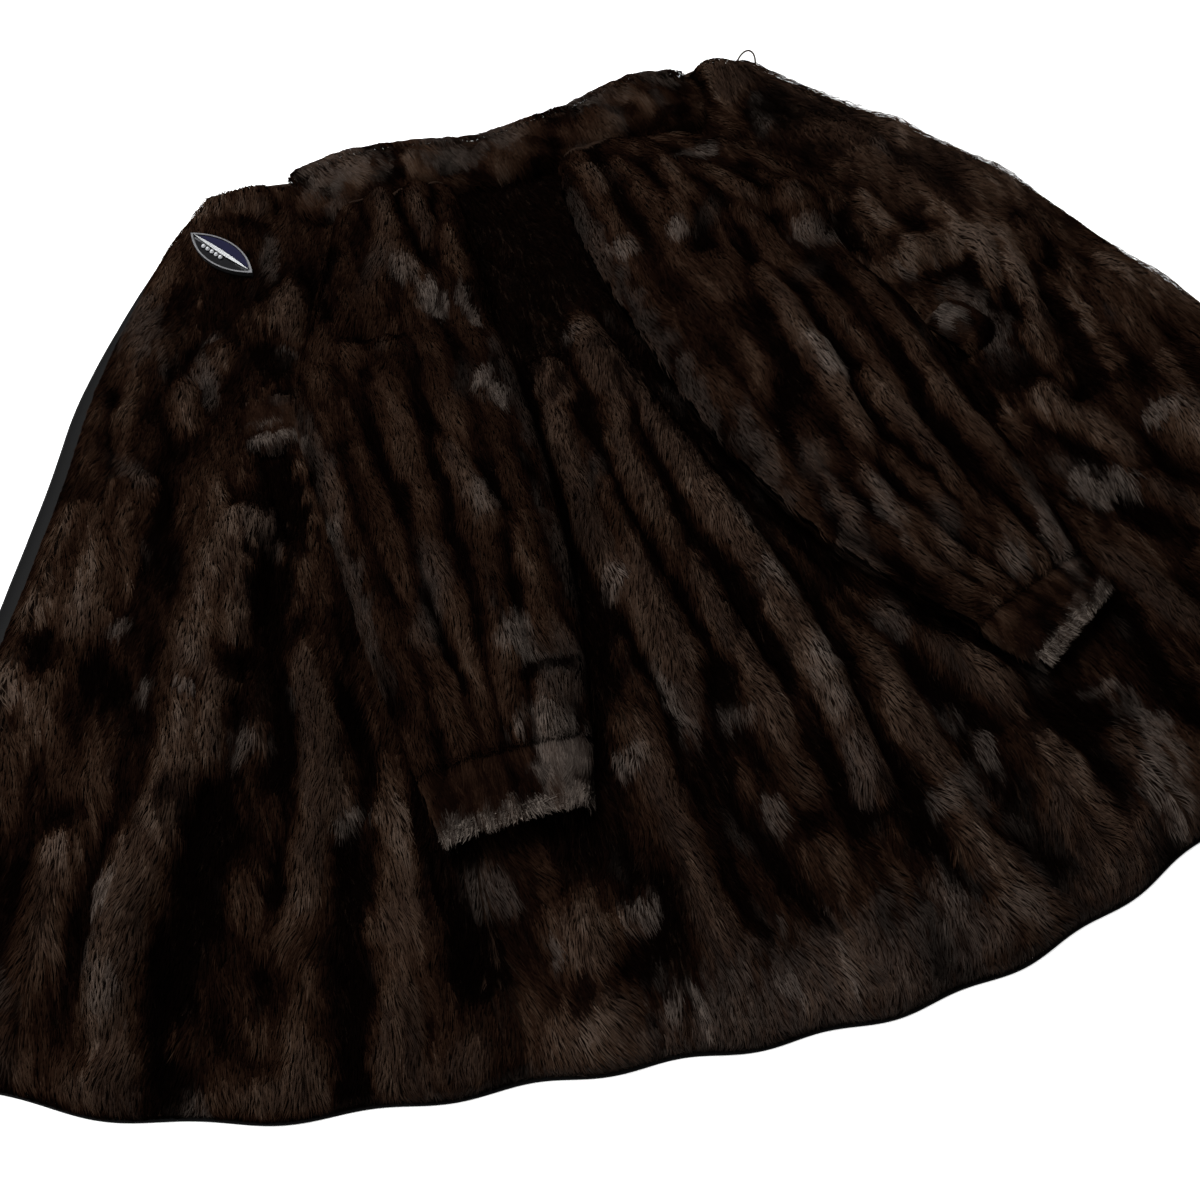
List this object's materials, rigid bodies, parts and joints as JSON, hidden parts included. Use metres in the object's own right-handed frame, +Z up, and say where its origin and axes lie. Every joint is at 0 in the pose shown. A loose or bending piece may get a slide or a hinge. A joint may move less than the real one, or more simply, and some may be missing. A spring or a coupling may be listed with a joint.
{
  "type": "fur coat",
  "caption": "Dark brown mink swing coat laid open on its lining: flared body, gathered sleeves with cuffs, rolled collar, side pockets and a leaf-shaped button.",
  "frame": {"origin": "on the surface the coat lies on, under the middle of its whole outline", "axes": "+Z up through the coat, +Y from the hem towards the collar along the centre back, +X towards the front with the thread loop"},
  "size_m": [1.2079, 0.8285, 0.0638],
  "materials": {
    "body_fur": "short dense mink fur in let-out strips, dark brown to near black, silver sheen along the folds",
    "sleeve_fur": "short dense mink fur, a little warmer on the long folds",
    "cuff_fur": "short dense mink fur with pale hair at the end of the band",
    "collar_fur": "short dense mink fur, greyish sheen along the roll",
    "lining": "smooth dark grey satin",
    "silver": "polished silver-coloured metal",
    "navy_enamel": "glossy navy enamel",
    "black_enamel": "glossy near-black enamel",
    "stone": "clear cut glass",
    "thread": "twisted brown thread"
  },
  "bodies": {
    "root": {"back": "body_fur", "front_left": "body_fur", "front_right": "body_fur", "collar": "collar_fur", "sleeve_left": "sleeve_fur", "sleeve_right": "sleeve_fur", "cuff_left": "cuff_fur", "cuff_right": "cuff_fur", "pocket_lip_left": "body_fur", "pocket_lip_right": "body_fur", "lining_front_edge": "lining", "lining_hem": "lining", "button_dish": "silver", "button_face_upper": "navy_enamel", "button_face_lower": "black_enamel", "button_ridge": "silver", "button_stone_1": "stone", "button_stone_2": "stone", "button_stone_3": "stone", "button_stone_4": "stone", "button_stone_5": "stone", "button_loop": "thread"}
  },
  "joints": []
}
